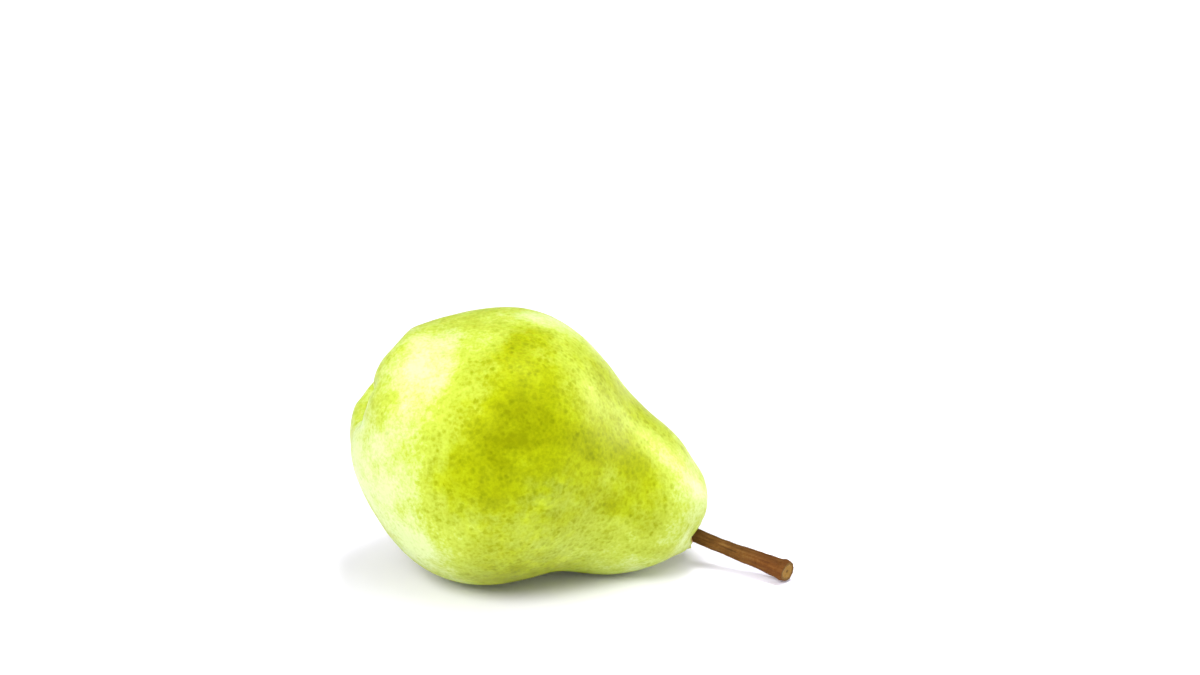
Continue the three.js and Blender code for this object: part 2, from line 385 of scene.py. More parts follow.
# Rows packed closer near both ends: u such that equal steps of weighted length lie between them.
def fruitRows():
    u = np.linspace(0, 1, fruit["samples"])
    spots, _ = splineAt(fruit["profile"], u)
    step = np.linalg.norm(np.diff(spots, axis=0), axis=1)
    weight = 1
    for middle, spread, more in fruit["crowding"]:
        weight = weight + more * bell(u - middle, spread)
    length = np.concatenate([[0], np.cumsum(step * weight[1:])])
    return np.interp(np.linspace(0, length[-1], fruit["rows"]), length, u)


# The turned outline, pushed out square to itself by the swellings, the waves and, where fine is 1, by
# lumps, basin ribs and creases; each end then sinks by its drop.
def fruitPlaces(u, turn, fine):
    spot, way = splineAt(fruit["profile"], u)
    along, radius = spot[..., 0], spot[..., 1]
    degrees = np.degrees(turn)
    height = np.zeros(np.broadcast(u, turn).shape)
    for middle, centre, length, width, rise in fruit["swellings"]:
        height = height + rise * bell(along - middle, length) * bell(turnGap(degrees, centre), width)
    for count, crest, twist, middle, spread, rise in fruit["waves"]:
        phase = count * (turn - math.radians(crest)) + twist * along
        height = height + rise * np.cos(phase) * bell(along - middle, spread)
    flatTo, growth = fruit["poleFlat"]
    height = height * np.clip((radius - flatTo) / growth, 0, 1)
    plain = np.stack([along + 0 * turn, radius * np.sin(turn), radius * np.cos(turn)], axis=-1)
    if fine:
        for seed, (size, rise) in enumerate(fruit["lumps"]):
            height = height + rise * softNoise(plain, size, seed + 3)
        amount, size = fruit["wander"]
        wander = amount * softNoise(plain, size, 21)
        # Five main ribs and eleven finer ones.
        ribTurn = turn - math.radians(fruit["ribsTurn"])
        ribs = np.cos(5 * ribTurn + wander) + 0.45 * np.cos(11 * turn + 3 * wander)
        inBasin = bell(radius - fruit["ribsAt"], fruit["ribsWidth"]) * (1 - smooth(u, *fruit["ribsFade"]))
        height = height + fruit["basinRibs"] * ribs * inBasin
        # Creases of three widths, cut off where they would swell outwards.
        folds = np.cos(4 * turn + 1.1 + wander) + 0.8 * np.cos(7 * turn + 0.4 - wander)
        folds = folds + 0.5 * np.cos(13 * turn)
        nearStem = bell(radius - fruit["creasesAt"], fruit["creasesWidth"])
        nearStem = nearStem * smooth(u, *fruit["creasesFade"])
        height = height - fruit["stemCreases"] * np.clip(folds, -0.4, 2) * 0.5 * nearStem
    alongOut = along - way[..., 1] * height
    radiusOut = radius + way[..., 0] * height
    side = radiusOut * np.sin(turn)
    up = radiusOut * np.cos(turn)
    up = up - fruit["stemSeatDrop"] * smooth(u, *fruit["stemSeatSpan"])
    up = up - fruit["calyxDrop"] * (1 - smooth(u, *fruit["calyxSpan"]))
    if fine:
        fromStem = np.hypot(side - fruit["stemCentre"][0], up - fruit["stemCentre"][1])
        uneven = 1 + 0.5 * np.sin(3 * turn + 0.7) * np.sin(5 * turn)
        atEnd = smooth(u, *fruit["lipFade"])
        lip = bell(fromStem - fruit["lipAt"], fruit["lipWidth"])
        gap = bell(fromStem - fruit["gapAt"], fruit["lipWidth"])
        alongOut = alongOut + fruit["lipHeight"] * uneven * lip * atEnd
        alongOut = alongOut - fruit["gapDepth"] * gap * atEnd
    return np.stack([alongOut, side, up], axis=-1)


fruitU = fruitRows()[:, None]
fruitTurn = np.linspace(0, fullTurn, fruit["columns"], endpoint=False)[None, :]
plainSkin = laidDown(fruitPlaces(fruitU, fruitTurn, 0), (0, 0))
bodyLow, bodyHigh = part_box("pear_body")
bodyMiddle = np.array((bodyLow + bodyHigh) / 2)[:2] / millimetre
tableShift = bodyMiddle - (plainSkin.min(axis=(0, 1)) + plainSkin.max(axis=(0, 1)))[:2] / 2

fineSkin = fruitPlaces(fruitU, fruitTurn, 1)
skinPlaces = laidDown(fineSkin, tableShift)
skinPlaces[..., 2] = np.maximum(skinPlaces[..., 2], 0)      # flat where it rests
print("fruit: shift", tableShift.round(3), "top", skinPlaces[..., 2].max().round(2))


# Painted zones that the skin's material reads: how green or pale it is, how dull, and how much russet there
# is by the stem and in the basin. Some of the green, pale and dull zones are painted highlight, painted
# reflection, painted light and painted shade.
paint = {
    # Green patches: along, turn, length, width, strength. Where the strength is negative they are paler.
    # Some of them are painted light and shade; each of these is marked.
    "greenWithPaintedLight": [
        (34.0, 304, 9.0, 17, 0.5),
        (27.0, 288, 6.0, 13, 0.24),
        (27.0, 330, 7.0, 16, 0.2),
        (20.0, 350, 6.0, 12, -0.12),
        (31.0, 290, 5.0, 12, 0.1),
        # painted shade: greener and darker on the underside below the waist, near the table
        (51.0, 218, 12.0, 18, 0.42),
        (20.0, 272, 4.0, 9, 0.22),
        (36.0, 272, 7.0, 12, 0.12),
        (26.0, 264, 6.0, 11, 0.2),
        (30.0, 344, 5.0, 12, 0.14),
        (30.0, 285, 5.0, 10, 0.14),
        (42.0, 286, 6.0, 10, 0.14),
        (73.0, 302, 6.0, 14, 0.2),
        (44.0, 296, 4.0, 10, 0.1),
        (50.0, 301, 5.5, 10, 0.3),
        (61.5, 310, 7.0, 12, 0.4),
        (55.0, 284, 5.0, 7, 0.16),
        (67.0, 285, 6.0, 11, 0.2),
        (63.0, 256, 7.0, 14, -0.07),
        # painted highlight: paler on the upper left of the belly
        (8.0, 316, 7.0, 26, -0.3),
        (80.0, 212, 10.0, 20, -0.26),
        # painted highlight: its upper part
        (14.0, 336, 8.0, 14, -0.2),
        # painted light: paler on the near side of the calyx end
        (5.0, 256, 8.0, 30, -0.26),
        # paler lower left of the calyx end: partly paler skin, partly painted light
        (5.0, 214, 15.0, 24, -0.38),
        # painted light: paler on the underside of the belly, standing in for light from the table
        (24.0, 222, 13.0, 20, -0.32),
        (69.0, 234, 14.0, 22, -0.13),
        (78.0, 288, 5.0, 12, 0.1),
        (46.0, 270, 12.0, 34, 0.06),
        (47.0, 328, 5.5, 7, -0.2),
        (57.0, 347, 10.0, 14, 0.14),
        (74.0, 328, 8.0, 13, -0.1),
        (84.0, 318, 8.0, 32, -0.34),
        (88.0, 255, 7.0, 36, -0.24),
        # painted reflection: a pale band along the top of the belly
        (36.0, 8, 17.0, 14, -0.3),
        # painted light: paler far wall of the calyx basin, which lies in shade
        (2.0, 50, 7.0, 60, -0.25),
        (2.0, 150, 7.0, 40, -0.16),
        (0.0, 276, 2.2, 13, -0.12),
        (37.0, 215, 9.0, 13, -0.12),
        (3.4, 283, 1.8, 14, 0.13),
    ],
    # Duller, greyer patches, in the same terms. The last one is painted shade under the waist.
    "dullWithPaintedShade": [
        (44.0, 278, 9.0, 13, 0.8),
        (33.0, 262, 8.0, 14, 0.4),
        # painted shade: darker and greyer on the underside below the waist
        (52.0, 232, 14.0, 20, 0.6),
    ],
    # How the patches' edges wander: amount, in mm or degrees, and size of the noise in mm.
    "wanderAlong": [(2.0, 9.0), (1.6, 4.0)],
    "wanderTurn": (3.0, 8.0),
    "streaks": (3.0, 2.6), "streakShorten": 0.35,       # the same for streaks, drawn out along the fruit
    "blotchy": (0.28, 5.0), "streakGreen": 0.05,        # unevenness of the green, and green in the streaks
    # The russet reaches this far from the stem, and from the basin's middle: from and to, mm.
    "russetAtStem": (1.6, 4.6),
    "russetInBasin": (2.2, 6.0),
    "ragged": [(0.35, 2.5), (0.2, 0.9)],                # unevenness of its edge: share and size
}


def skinPaint(u, turn, places):
    spot, _ = splineAt(fruit["profile"], u)
    along, radius = spot[..., 0] + 0 * turn, spot[..., 1] + 0 * turn
    degrees = np.degrees(turn)
    # The patches' edges wander, and break up into streaks along the fruit.
    streakTurn, streakSize = paint["streaks"]
    streaks = softNoise(places * (paint["streakShorten"], 1, 1), streakSize, 33)
    wanderAlong = along
    for seed, (amount, size) in enumerate(paint["wanderAlong"]):
        wanderAlong = wanderAlong + amount * softNoise(places, size, seed + 31)
    amount, size = paint["wanderTurn"]
    wanderTurn = degrees + amount * softNoise(places, size, 34) + streakTurn * streaks
    greenWithPaintedLight, dullWithPaintedShade = (
        sum(strength * bell(wanderAlong - middle, length) * bell(turnGap(wanderTurn, centre), width)
            for middle, centre, length, width, strength in paint[kind])
        for kind in ("greenWithPaintedLight", "dullWithPaintedShade")
    )
    amount, size = paint["blotchy"]
    greenWithPaintedLight = greenWithPaintedLight * (1 + amount * softNoise(places, size, 35)) + paint["streakGreen"] * streaks
    fromStem = np.hypot(places[..., 1] - fruit["stemCentre"][0], places[..., 2] - fruit["stemCentre"][1])
    ragged = 1
    for seed, (amount, size) in enumerate(paint["ragged"]):
        ragged = ragged + amount * softNoise(places, size, seed + 41)
    atStem = smooth(u, 0.85, 0.95) * (1 - smooth(fromStem / ragged, *paint["russetAtStem"]))
    inBasin = (1 - smooth(u, 0.1, 0.2)) * (1 - smooth(radius / ragged, *paint["russetInBasin"]))
    return greenWithPaintedLight, dullWithPaintedShade, np.clip(atStem + inBasin, 0, 1)


greenAndLightPaint, dullAndShadePaint, russetPaint = skinPaint(fruitU, fruitTurn, fineSkin)
skin = closedMesh("pearSkin", [skinPlaces], {
    "greenWithPaintedLight": [greenAndLightPaint], "dullWithPaintedShade": [dullAndShadePaint], "russet": [russetPaint],
})

skinFinish = {
    # From pale to deep green: place on the scale, and colour.
    "scale": [
        (0.0, (0.555, 0.65, 0.28)),
        (0.3, (0.42, 0.51, 0.058)),
        (0.62, (0.295, 0.342, 0.008)),
        (1.0, (0.185, 0.21, 0.001)),
    ],
    "dot": (0.17, 0.21, 0.002),
    "russet": (0.33, 0.18, 0.058),
    # Colours that are laid over the others by multiplying.
    "fleckShade": (0.76, 0.79, 0.6),
    "purer": (1.02, 1.02, 0.25),
    # greys the dull patches and the painted shade under the waist
    "dullerAndShaded": (0.78, 0.80, 1.0),
    # Sizes of the patterns, mm.
    "cloudCell": 16, "mottleCell": 5, "grainCell": 0.8, "blotchCell": 3.6, "bumpCell": 0.7,
    "fleckCell": 1.45, "fleckReach": (0.3, 0.3),        # least reach, and how much more at most
    "dotCell": 2.9, "dotReach": (0.08, 0.1),
    # Where the scale is read: start, and weights of clouds, mottle, grain and flecks.
    "toneStart": -0.22, "toneWeights": (0.5, 0.4, 0.35, 0.14),
    "paleFlecks": 0.35,             # strength of the flecks where the skin is pale
    "grainShade": 0.35, "fleckDarker": 0.48, "dotDarker": 0.3,
    "roughness": (0.38, 0.55),
    "bumpDepth": 0.06,              # mm
}


# Soft round dots, one in each cell of the given size in mm, each with its own reach and strength.
def skinDots(tree, place, cell, leastReach, moreReach):
    dots = addNode(tree, "ShaderNodeTexVoronoi", {
        "Vector": place, "Scale": 1 / (cell * millimetre), "Randomness": 1.0,
    })
    chance = addNode(tree, "ShaderNodeSeparateColor", {"Color": dots.outputs["Color"]})
    reach = calc(tree, "MULTIPLY_ADD", chance.outputs[0], moreReach, leastReach)
    dot = remap(tree, calc(tree, "DIVIDE", dots.outputs["Distance"], reach), 0.2, 1.6, 1.0, 0.0)
    return calc(tree, "MULTIPLY", dot, remap(tree, chance.outputs[1], 0.1, 0.8))


def skinMaterial():
    material, tree = newMaterial("greenPearSkin")
    place = objectPlace(tree)
    greenWithPaintedLight = attribute(tree, "greenWithPaintedLight").outputs["Fac"]
    dullWithPaintedShade = attribute(tree, "dullWithPaintedShade").outputs["Fac"]
    russet = attribute(tree, "russet").outputs["Fac"]
    clouds = cloud(tree, place, skinFinish["cloudCell"], 3, 0.5, 0.2)
    mottle = cloud(tree, place, skinFinish["mottleCell"], 2, 0.5)
    grain = cloud(tree, place, skinFinish["grainCell"], 2, 0.6)
    blotches = cloud(tree, place, skinFinish["blotchCell"], 2, 0.55)
    fleck = skinDots(tree, place, skinFinish["fleckCell"], *skinFinish["fleckReach"])
    fleck = calc(tree, "MULTIPLY", fleck, remap(tree, greenWithPaintedLight, -0.3, 0.0, skinFinish["paleFlecks"], 1.0))
    dot = skinDots(tree, place, skinFinish["dotCell"], *skinFinish["dotReach"])
    patterns = (clouds, mottle, grain, fleck)
    tone = weighed(tree, skinFinish["toneStart"], patterns, skinFinish["toneWeights"])
    # The green paint, with its painted highlight, painted reflection, painted light and painted shade,
    # moves the tone along the scale.
    colour = colourScale(tree, calc(tree, "ADD", tone, greenWithPaintedLight), skinFinish["scale"])
    # The green patches are purer in colour, in blotches, and the dull ones greyer; the greying also lays
    # the painted shade under the waist.
    purer = remap(tree, calc(tree, "MULTIPLY_ADD", blotches, 0.5, greenWithPaintedLight), 0.2, 0.55)
    colour = blend(tree, purer, colour, skinFinish["purer"], "MULTIPLY")
    dullerAndShaded = calc(tree, "MULTIPLY", dullWithPaintedShade, remap(tree, blotches, 0.62, 0.38))
    colour = blend(tree, dullerAndShaded, colour, skinFinish["dullerAndShaded"], "MULTIPLY")
    # Flecks and grain darken the colour that they lie on.
    shade = calc(tree, "MULTIPLY", fleck, skinFinish["fleckDarker"])
    shade = calc(tree, "MULTIPLY_ADD", remap(tree, grain, 0.4, 0.7), skinFinish["grainShade"], shade)
    colour = blend(tree, shade, colour, skinFinish["fleckShade"], "MULTIPLY")
    colour = blend(tree, calc(tree, "MULTIPLY", dot, skinFinish["dotDarker"]), colour, skinFinish["dot"])
    # The grain breaks up the russet's edge.
    russetBreak = remap(tree, calc(tree, "MULTIPLY_ADD", grain, 0.5, russet), 0.45, 0.85)
    colour = blend(tree, russetBreak, colour, skinFinish["russet"])
    rougher = calc(tree, "ADD", calc(tree, "MULTIPLY", mottle, 0.8), russetBreak)
    roughness = remap(tree, rougher, 0.2, 1.0, *skinFinish["roughness"])
    fineGrain = cloud(tree, place, skinFinish["bumpCell"], 2, 0.6)
    height = calc(tree, "MULTIPLY_ADD", fineGrain, 0.5, calc(tree, "MULTIPLY", dot, 0.3))
    height = calc(tree, "MULTIPLY_ADD", russetBreak, grain, height)
    finishMaterial(
        tree, colour, roughness, height, skinFinish["bumpDepth"],
        Specular_IOR_Level=0.14, Specular_Tint=(1, 1, 0.1, 1),
        Subsurface_Weight=0.1, Subsurface_Scale=0.003,
    )
    return material


skin.data.materials.append(skinMaterial())
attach(skin, "root")
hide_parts("pear_body")
print("fruit:", len(skin.data.polygons), "faces")


# The stem

stem = {
    # Centre line in the fruit's frame: it leans towards the near side and swells at its cut tip.
    "path": [
        (84.0, 0.4, -4.6), (88.5, 0.4, -4.5), (93.0, -0.4, -4.2), (97.9, -3.0, -3.5), (102.8, -6.0, -2.6),
        (107.5, -9.2, -1.4), (112.3, -12.4, -0.4), (115.3, -14.4, 0.4),
    ],
    "baseRadius": 1.85, "tipRadius": 2.55, "swellStart": 0.45,
    "ridges": [(3, 2.0, 0.035), (5, -1.0, 0.02)],       # count, twist and share of the radius
    "fineRidges": [(11, 3.0, 0.022), (19, -2.0, 0.012)],
    "bevel": 0.25,
    "cutSlant": 0.22,           # how far the cut leans back on the near side
    "startRings": 5, "steps": 170, "sides": 80, "bevelSteps": 5, "faceRings": 12,
    "tipKnob": 0.28, "knobAt": 0.955, "knobSpread": 0.04,       # extra swelling just behind the cut
    "lumps": [(3.2, 0.16), (1.1, 0.09)],        # size and height
    "lumpShorten": 0.45,        # the lumps are drawn out along the stem
    "cutRoughness": (0.12, 0.8),        # height and size
    "cutDish": 0.25,            # depth of the shallow dish in the cut
    "length": 32.0,
    "grainShorten": 0.12,       # the grain is drawn out along the stem
}


# Ridges along the stem: cosines round it that twist as they run.
def ridging(kind, turn, t):
    return sum(depth * np.cos(count * turn + twist * t) for count, twist, depth in stem[kind])


# Rings square to the centre line with a ridged radius, closed by a flat start inside the flesh and by a
# bevelled, roughly cut end face. Returns places, drawn-out places for the grain, how far along the stem,
# whether on the cut, and how far out from its centre.
def stemPlaces():
    startShare = np.linspace(0, 1, stem["startRings"] + 1)[:-1]
    bodyT = np.linspace(0, 1, stem["steps"])
    bevelTurn = np.linspace(0, math.pi / 2, stem["bevelSteps"] + 1)[1:]
    faceShare = np.linspace(1, 0, stem["faceRings"] + 1)[1:]
    t = np.concatenate([0 * startShare, bodyT, 1 + 0 * bevelTurn, 1 + 0 * faceShare])
    share = np.concatenate([startShare, 1 + 0 * bodyT, 1 + 0 * bevelTurn, faceShare])
    loss = np.concatenate([
        0 * startShare, 0 * bodyT, stem["bevel"] * (1 - np.cos(bevelTurn)), stem["bevel"] + 0 * faceShare,
    ])
    lift = np.concatenate([
        0 * startShare, -stem["bevel"] * smooth(bodyT, 0.9, 1.0),
        stem["bevel"] * (np.sin(bevelTurn) - 1), -stem["cutDish"] * (1 - faceShare ** 2),
    ])
    cut = np.concatenate([0 * startShare, 0 * bodyT, smooth(bevelTurn, 0.2, 1.4), 1 + 0 * faceShare])
    centre, direction = splineAt(stem["path"], t, 1)
    across = np.cross((0, 0, 1), direction)
    across /= np.linalg.norm(across, axis=-1, keepdims=True)
    upward = np.cross(direction, across)
    turn = np.linspace(0, fullTurn, stem["sides"], endpoint=False)[None, :]
    t, share, loss, lift, cut = (row[:, None] for row in (t, share, loss, lift, cut))
    swelling = stem["tipRadius"] - stem["baseRadius"]
    base = stem["baseRadius"] + swelling * smooth(t, stem["swellStart"], 1.0)
    base = base + stem["tipKnob"] * bell(t - stem["knobAt"], stem["knobSpread"])
    radius = base * (1 + ridging("ridges", turn, t) + ridging("fineRidges", turn, t))
    around = np.cos(turn)[..., None] * across[:, None, :] + np.sin(turn)[..., None] * upward[:, None, :]
    plain = centre[:, None, :] + around * radius[..., None]
    for seed, (size, rise) in enumerate(stem["lumps"]):
        radius = radius + rise * softNoise(plain * (stem["lumpShorten"], 1, 1), size, seed + 50)
    radius = (radius - loss) * share
    places = centre[:, None, :] + around * radius[..., None]
    rise, size = stem["cutRoughness"]
    lift = lift + cut * rise * softNoise(places, size, 57) * smooth(t, 0.99, 1.0)
    lift = lift + stem["cutSlant"] * np.cos(turn) * radius * smooth(t, 0.86, 1.0)
    places = places + direction[:, None, :] * lift[..., None]
    grainAlong = stem["grainShorten"] * stem["length"] * t
    grain = np.stack([radius * np.cos(turn), radius * np.sin(turn), grainAlong + 0 * turn], axis=-1)
    return places, grain, t + 0 * turn, cut + 0 * turn, share + 0 * turn


stemGrid, stemGrain, stemAlong, stemCut, stemShare = stemPlaces()
stemPiece = closedMesh("pearStem", [laidDown(stemGrid, tableShift)], {
    "grain": [stemGrain * millimetre], "lengthwise": [stemAlong],
    "cut": [stemCut], "fromCentre": [stemShare],
})

stemFinish = {
    # From dark to light bark: place on the scale, and colour.
    "scale": [
        (0.1, (0.036, 0.016, 0.004)),
        (0.42, (0.074, 0.031, 0.007)),
        (0.68, (0.124, 0.052, 0.011)),
        (0.95, (0.180, 0.092, 0.026)),
    ],
    "base": (0.090, 0.043, 0.008),
    "red": (0.142, 0.034, 0.009), "redShare": 0.35,         # towards the tip
    # painted shade: the stem's upper side is darker, by this colour and share
    "paintedUpperShadeColour": (0.036, 0.016, 0.004), "paintedUpperShade": 0.32,    # on the upper side
    "cutWood": (0.26, 0.142, 0.03),
    "cutRing": (0.13, 0.066, 0.015),
    # Sizes of the patterns, mm.
    "streakCell": 0.7, "patchCell": 3.5, "speckCell": 0.5, "ringCell": 0.35,
    # Where the scale is read: start, and weights of streaks, patches and specks.
    "toneStart": -0.56, "toneWeights": (1.1, 0.85, 0.45),
    "roughness": (0.55, 0.85),
    "bumpDepth": 0.25,          # mm
}


def stemMaterial():
    material, tree = newMaterial("stemBark")
    place = objectPlace(tree)
    grainPlace = attribute(tree, "grain").outputs["Vector"]
    lengthwise = attribute(tree, "lengthwise").outputs["Fac"]
    cut = attribute(tree, "cut").outputs["Fac"]
    fromCentre = attribute(tree, "fromCentre").outputs["Fac"]
    streaks = cloud(tree, grainPlace, stemFinish["streakCell"], 4, 0.6)
    patches = cloud(tree, place, stemFinish["patchCell"], 3, 0.6)
    specks = cloud(tree, place, stemFinish["speckCell"], 2, 0.6)
    patterns = (streaks, patches, specks)
    tone = weighed(tree, stemFinish["toneStart"], patterns, stemFinish["toneWeights"])
    colour = colourScale(tree, tone, stemFinish["scale"])
    reddish = calc(tree, "MULTIPLY", remap(tree, lengthwise, 0.55, 0.85), stemFinish["redShare"])
    colour = blend(tree, reddish, colour, stemFinish["red"])
    atBase = remap(tree, calc(tree, "MULTIPLY_ADD", patches, 0.1, lengthwise), 0.3, 0.5, 0.85, 0.0)
    colour = blend(tree, atBase, colour, stemFinish["base"])
    # Painted shade: the upper side of the stem is darker.
    upward = addNode(tree, "ShaderNodeSeparateXYZ", {"Vector": grainPlace}).outputs["Y"]
    paintedUpperShade = remap(tree, upward, 0.7 * millimetre, 2.1 * millimetre, 0.0, stemFinish["paintedUpperShade"])
    colour = blend(tree, paintedUpperShade, colour, stemFinish["paintedUpperShadeColour"])
    # The cut end is pale wood, darker at its rim, in its fine rings and in the small pith.
    rings = cloud(tree, grainPlace, stemFinish["ringCell"], 3, 0.6)
    rim = remap(tree, fromCentre, 0.6, 0.98)
    pith = remap(tree, fromCentre, 0.12, 0.26, 0.7, 0.0)
    shade = calc(tree, "MAXIMUM", calc(tree, "MULTIPLY", rim, 0.7), pith)
    shade = calc(tree, "MULTIPLY_ADD", rings, 0.45, shade)
    cutColour = blend(tree, remap(tree, shade, 0.2, 1.0), stemFinish["cutWood"], stemFinish["cutRing"])
    colour = blend(tree, cut, colour, cutColour)
    roughness = remap(tree, streaks, 0.3, 0.7, *stemFinish["roughness"])
    height = calc(tree, "MULTIPLY_ADD", specks, 0.35, streaks)
    finishMaterial(
        tree, colour, roughness, height, stemFinish["bumpDepth"],
        Specular_IOR_Level=0.1, Specular_Tint=(1, 0.8, 0.5, 1),
    )
    return material


stemPiece.data.materials.append(stemMaterial())
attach(stemPiece, "root")
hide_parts("stem")
print("stem:", len(stemPiece.data.polygons), "faces")


# The calyx: cup, sepals and what is left of the flower

calyx = {
    "centre": (3.2, 0.0, -2.5),
    # The cup's outline from its foot, inside the flesh, over the lip and down its throat: rise and radius.
    "cup": [
        (-2.0, 0.0), (-2.0, 1.6), (-1.6, 2.25), (-0.6, 2.35), (0.3, 2.4), (0.9, 2.3), (1.05, 1.9),
        (0.8, 1.55), (0.2, 1.25), (-0.35, 0.8), (-0.4, 0.0),
    ],
    "cupRows": 60, "cupColumns": 96,
    "cupFolds": 0.06, "lipWave": 0.12, "cupRoughness": (0.08, 0.7),     # roughness: height and size, mm
    "sepals": 5,
    "firstTurn": 20.0,
    "variation": (1.0, 0.88, 1.06, 0.94, 0.82),
    # A sepal's middle line: distance from the calyx's centre, and height out of the basin.
    "sepalLine": [(1.2, 0.0), (2.4, 0.6), (3.6, 0.95), (4.7, 1.4), (5.3, 1.9)],
    "sepalWidth": 2.7, "sepalThickness": 0.42, "rootShare": 0.55, "tipLoss": 0.85, "cupping": 0.25,
    "tipTwist": 0.5, "edgeWave": 0.16, "backRib": 0.12, "sepalRoughness": (0.07, 0.9),
    "sepalRows": 46, "sepalColumns": 28,
    "stamens": 16, "stamenRadius": 0.13, "stamenRows": 22, "stamenColumns": 10,
    # Where a stamen starts: distance from the middle, nearer for every third, and height.
    "outerRoot": 1.25, "innerRoot": 0.5, "rootHeight": -0.3,
    # Ranges that are drawn from: turn of the root, lean outwards, height of the top, turn of the tip.
    "rootSpread": 0.2, "stamenLean": (0.2, 1.3), "stamenTop": (1.2, 2.1), "tipSpread": 0.7,
    "knob": 0.17,                   # how much thicker the end is
}


# From turn round the calyx, distance from its middle and rise out of the basin, to the fruit's frame.
def calyxPlace(turn, out, rise):
    along, side, up = calyx["centre"]
    return np.stack([along - rise + 0 * turn, side + out * np.sin(turn), up + out * np.cos(turn)], axis=-1)


# The cup: its outline turned round the calyx's axis, with fine folds.
def cupPlaces():
    t = np.linspace(0, 1, calyx["cupRows"])[:, None]
    turn = np.linspace(0, fullTurn, calyx["cupColumns"], endpoint=False)[None, :]
    spot, _ = splineAt(calyx["cup"], t)
    rise, out = spot[..., 0], spot[..., 1]
    folds = 1 + calyx["cupFolds"] * (np.cos(10 * turn) + 0.5 * np.cos(23 * turn + 1))
    sepalTurn = turn - math.radians(calyx["firstTurn"])
    rise = rise + calyx["lipWave"] * np.cos(calyx["sepals"] * sepalTurn) * smooth(rise, 0, 1)
    places = calyxPlace(turn, out * folds, rise)
    height, size = calyx["cupRoughness"]
    return places + height * softNoise(places, size, 60)[..., None] * (out > 0)[..., None]


# One sepal: flat rings that follow its middle line, wide in the middle and pointed, cupped across, with a
# rib down its back, wavy edges and a tip that curls and twists.
def sepalPlaces(index):
    t = np.linspace(0, 1, calyx["sepalRows"])[:, None]
    loop = np.linspace(0, fullTurn, calyx["sepalColumns"], endpoint=False)[None, :]
    size = calyx["variation"][index]
    spot, way = splineAt(np.array(calyx["sepalLine"]) * size, t)
    turn = math.radians(calyx["firstTurn"]) + index / calyx["sepals"] * fullTurn
    twist = calyx["tipTwist"] * (-1) ** index * smooth(t, 0.35, 1.0)
    outward = np.array((0, math.sin(turn), math.cos(turn)))
    sideways = np.array((0, math.cos(turn), -math.sin(turn)))
    risen = np.array((-1, 0, 0))
    normal = way[..., :1] * risen - way[..., 1:] * outward
    across = np.cos(twist)[..., None] * sideways + np.sin(twist)[..., None] * normal
    facing = np.cos(twist)[..., None] * normal - np.sin(twist)[..., None] * sideways
    widest = calyx["rootShare"] + (1 - calyx["rootShare"]) * np.sin(math.pi * t)
    taper = np.sqrt(np.clip(1 - t ** 4, 0, 1)) * np.sqrt(np.clip(t / 0.03, 0, 1))
    halfWidth = calyx["sepalWidth"] / 2 * widest * (1 - calyx["tipLoss"] * t * t) * taper
    halfThick = calyx["sepalThickness"] / 2 * (1.5 - 0.7 * t) * taper
    flat = np.cos(loop)
    waves = calyx["edgeWave"] * np.sin(9 * t + 2 * index) * np.abs(flat) ** 2 * smooth(t, 0.1, 0.4)
    rib = calyx["backRib"] * bell(flat, 0.25) * (np.sin(loop) > 0)
    height = np.sin(loop) * halfThick + calyx["cupping"] * np.abs(flat) * halfWidth + waves + rib * taper
    middle = np.array(calyx["centre"]) + spot[..., :1] * outward + spot[..., 1:] * risen
    places = middle[:, 0][:, None, :] + (flat * halfWidth)[..., None] * across + height[..., None] * facing
    rise, size = calyx["sepalRoughness"]
    return places + rise * softNoise(places, size, 61 + index)[..., None] * facing, t + 0 * loop


# One stamen or style: a thin thread that leaves the throat, bends outward and ends in a small dark knob.
def stamenPlaces(index, draw):
    t = np.linspace(0, 1, calyx["stamenRows"])[:, None]
    loop = np.linspace(0, fullTurn, calyx["stamenColumns"], endpoint=False)[None, :]
    turn = index / calyx["stamens"] * fullTurn + draw.uniform(-calyx["rootSpread"], calyx["rootSpread"])
    root = calyx["outerRoot"] if index % 3 else calyx["innerRoot"]
    lean = draw.uniform(*calyx["stamenLean"])
    top = draw.uniform(*calyx["stamenTop"])
    out = root + lean * t ** 2
    rise = calyx["rootHeight"] + (top - calyx["rootHeight"]) * t
    bend = turn + draw.uniform(-calyx["tipSpread"], calyx["tipSpread"]) * t ** 2
    centre = calyxPlace(bend[:, 0], out[:, 0], rise[:, 0])[:, None, :]
    radius = calyx["stamenRadius"] * (1 - 0.35 * t) + calyx["knob"] * bell(t - 0.93, 0.07)
    radius = radius * np.sqrt(np.clip((1 - t) / 0.06, 0, 1)) * np.sqrt(np.clip(t / 0.04, 0, 1))
    ring = calyxPlace(loop, 1, 0) - np.array(calyx["centre"])
    # Threads take the darker half of the calyx's colours.
    return centre + radius[..., None] * ring, 0.6 + 0.4 * t + 0 * loop


# Grids with how far along they are, as one mesh.
def calyxMesh(name, parts):
    places = [laidDown(grid, tableShift) for grid, _ in parts]
    return closedMesh(name, places, {"lengthwise": [along for _, along in parts]})


cup = cupPlaces()
leaves = [(cup, np.full(cup.shape[:2], 0.05))]
leaves += [sepalPlaces(index) for index in range(calyx["sepals"])]
sepals = calyxMesh("calyxSepals", leaves)

calyxDraw = np.random.default_rng(11)
threads = [stamenPlaces(index, calyxDraw) for index in range(calyx["stamens"])]
stamens = calyxMesh("calyxStamens", threads)

